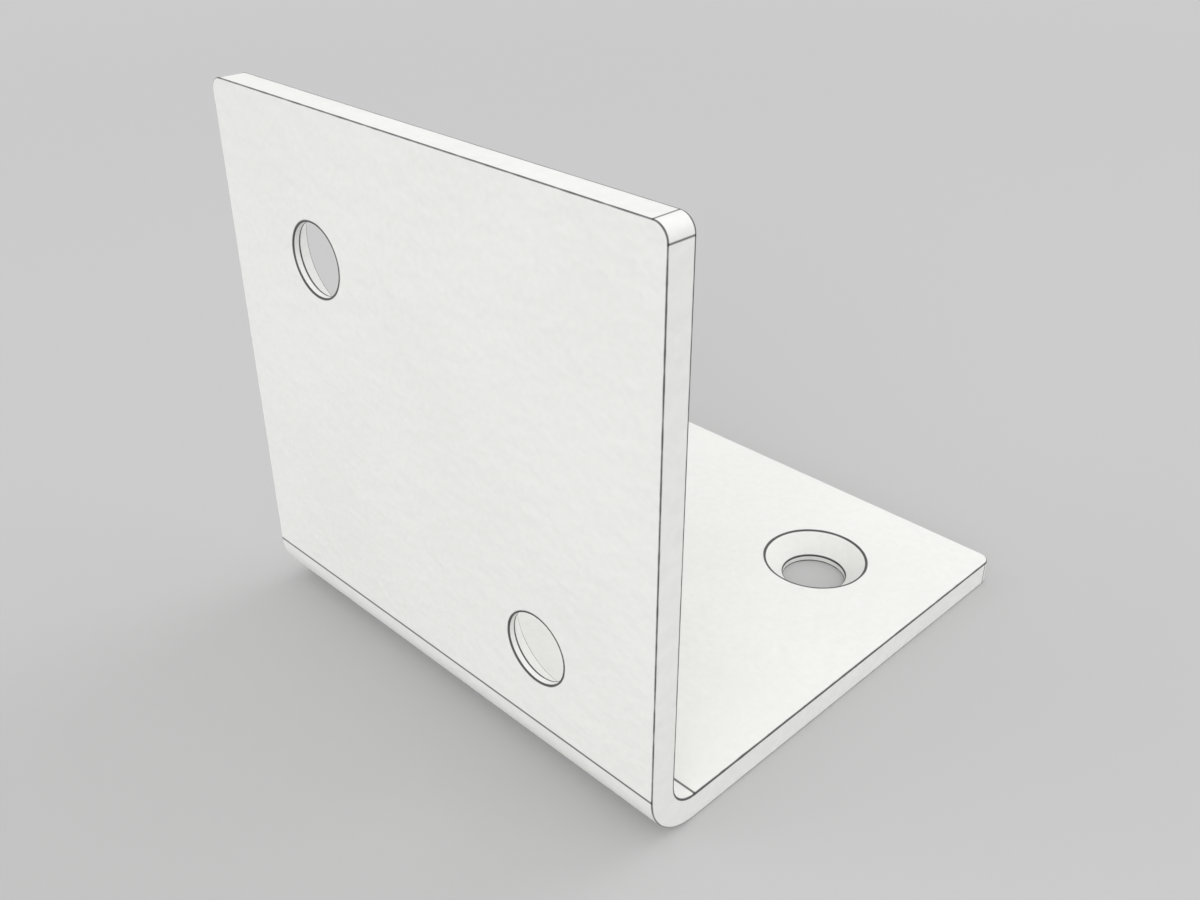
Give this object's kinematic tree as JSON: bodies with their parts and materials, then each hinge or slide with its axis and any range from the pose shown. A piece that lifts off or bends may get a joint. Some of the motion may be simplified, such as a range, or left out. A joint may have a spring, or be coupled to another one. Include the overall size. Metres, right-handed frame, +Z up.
{
  "type": "corner brace",
  "caption": "White coated sheet-steel corner brace, folded once to a right angle, with staggered countersunk screw holes in both legs.",
  "frame": {"origin": "middle of the bounding box's bottom, on the plane of the base leg's outer face", "axes": "+Z up, away from the base leg's outer face; -Y out of the upright leg's outer face; +X along the bend"},
  "size_m": [0.04, 0.04, 0.04],
  "materials": {
    "white_coat": "satin"
  },
  "bodies": {
    "root": {"corner_brace": "white_coat"}
  },
  "joints": []
}
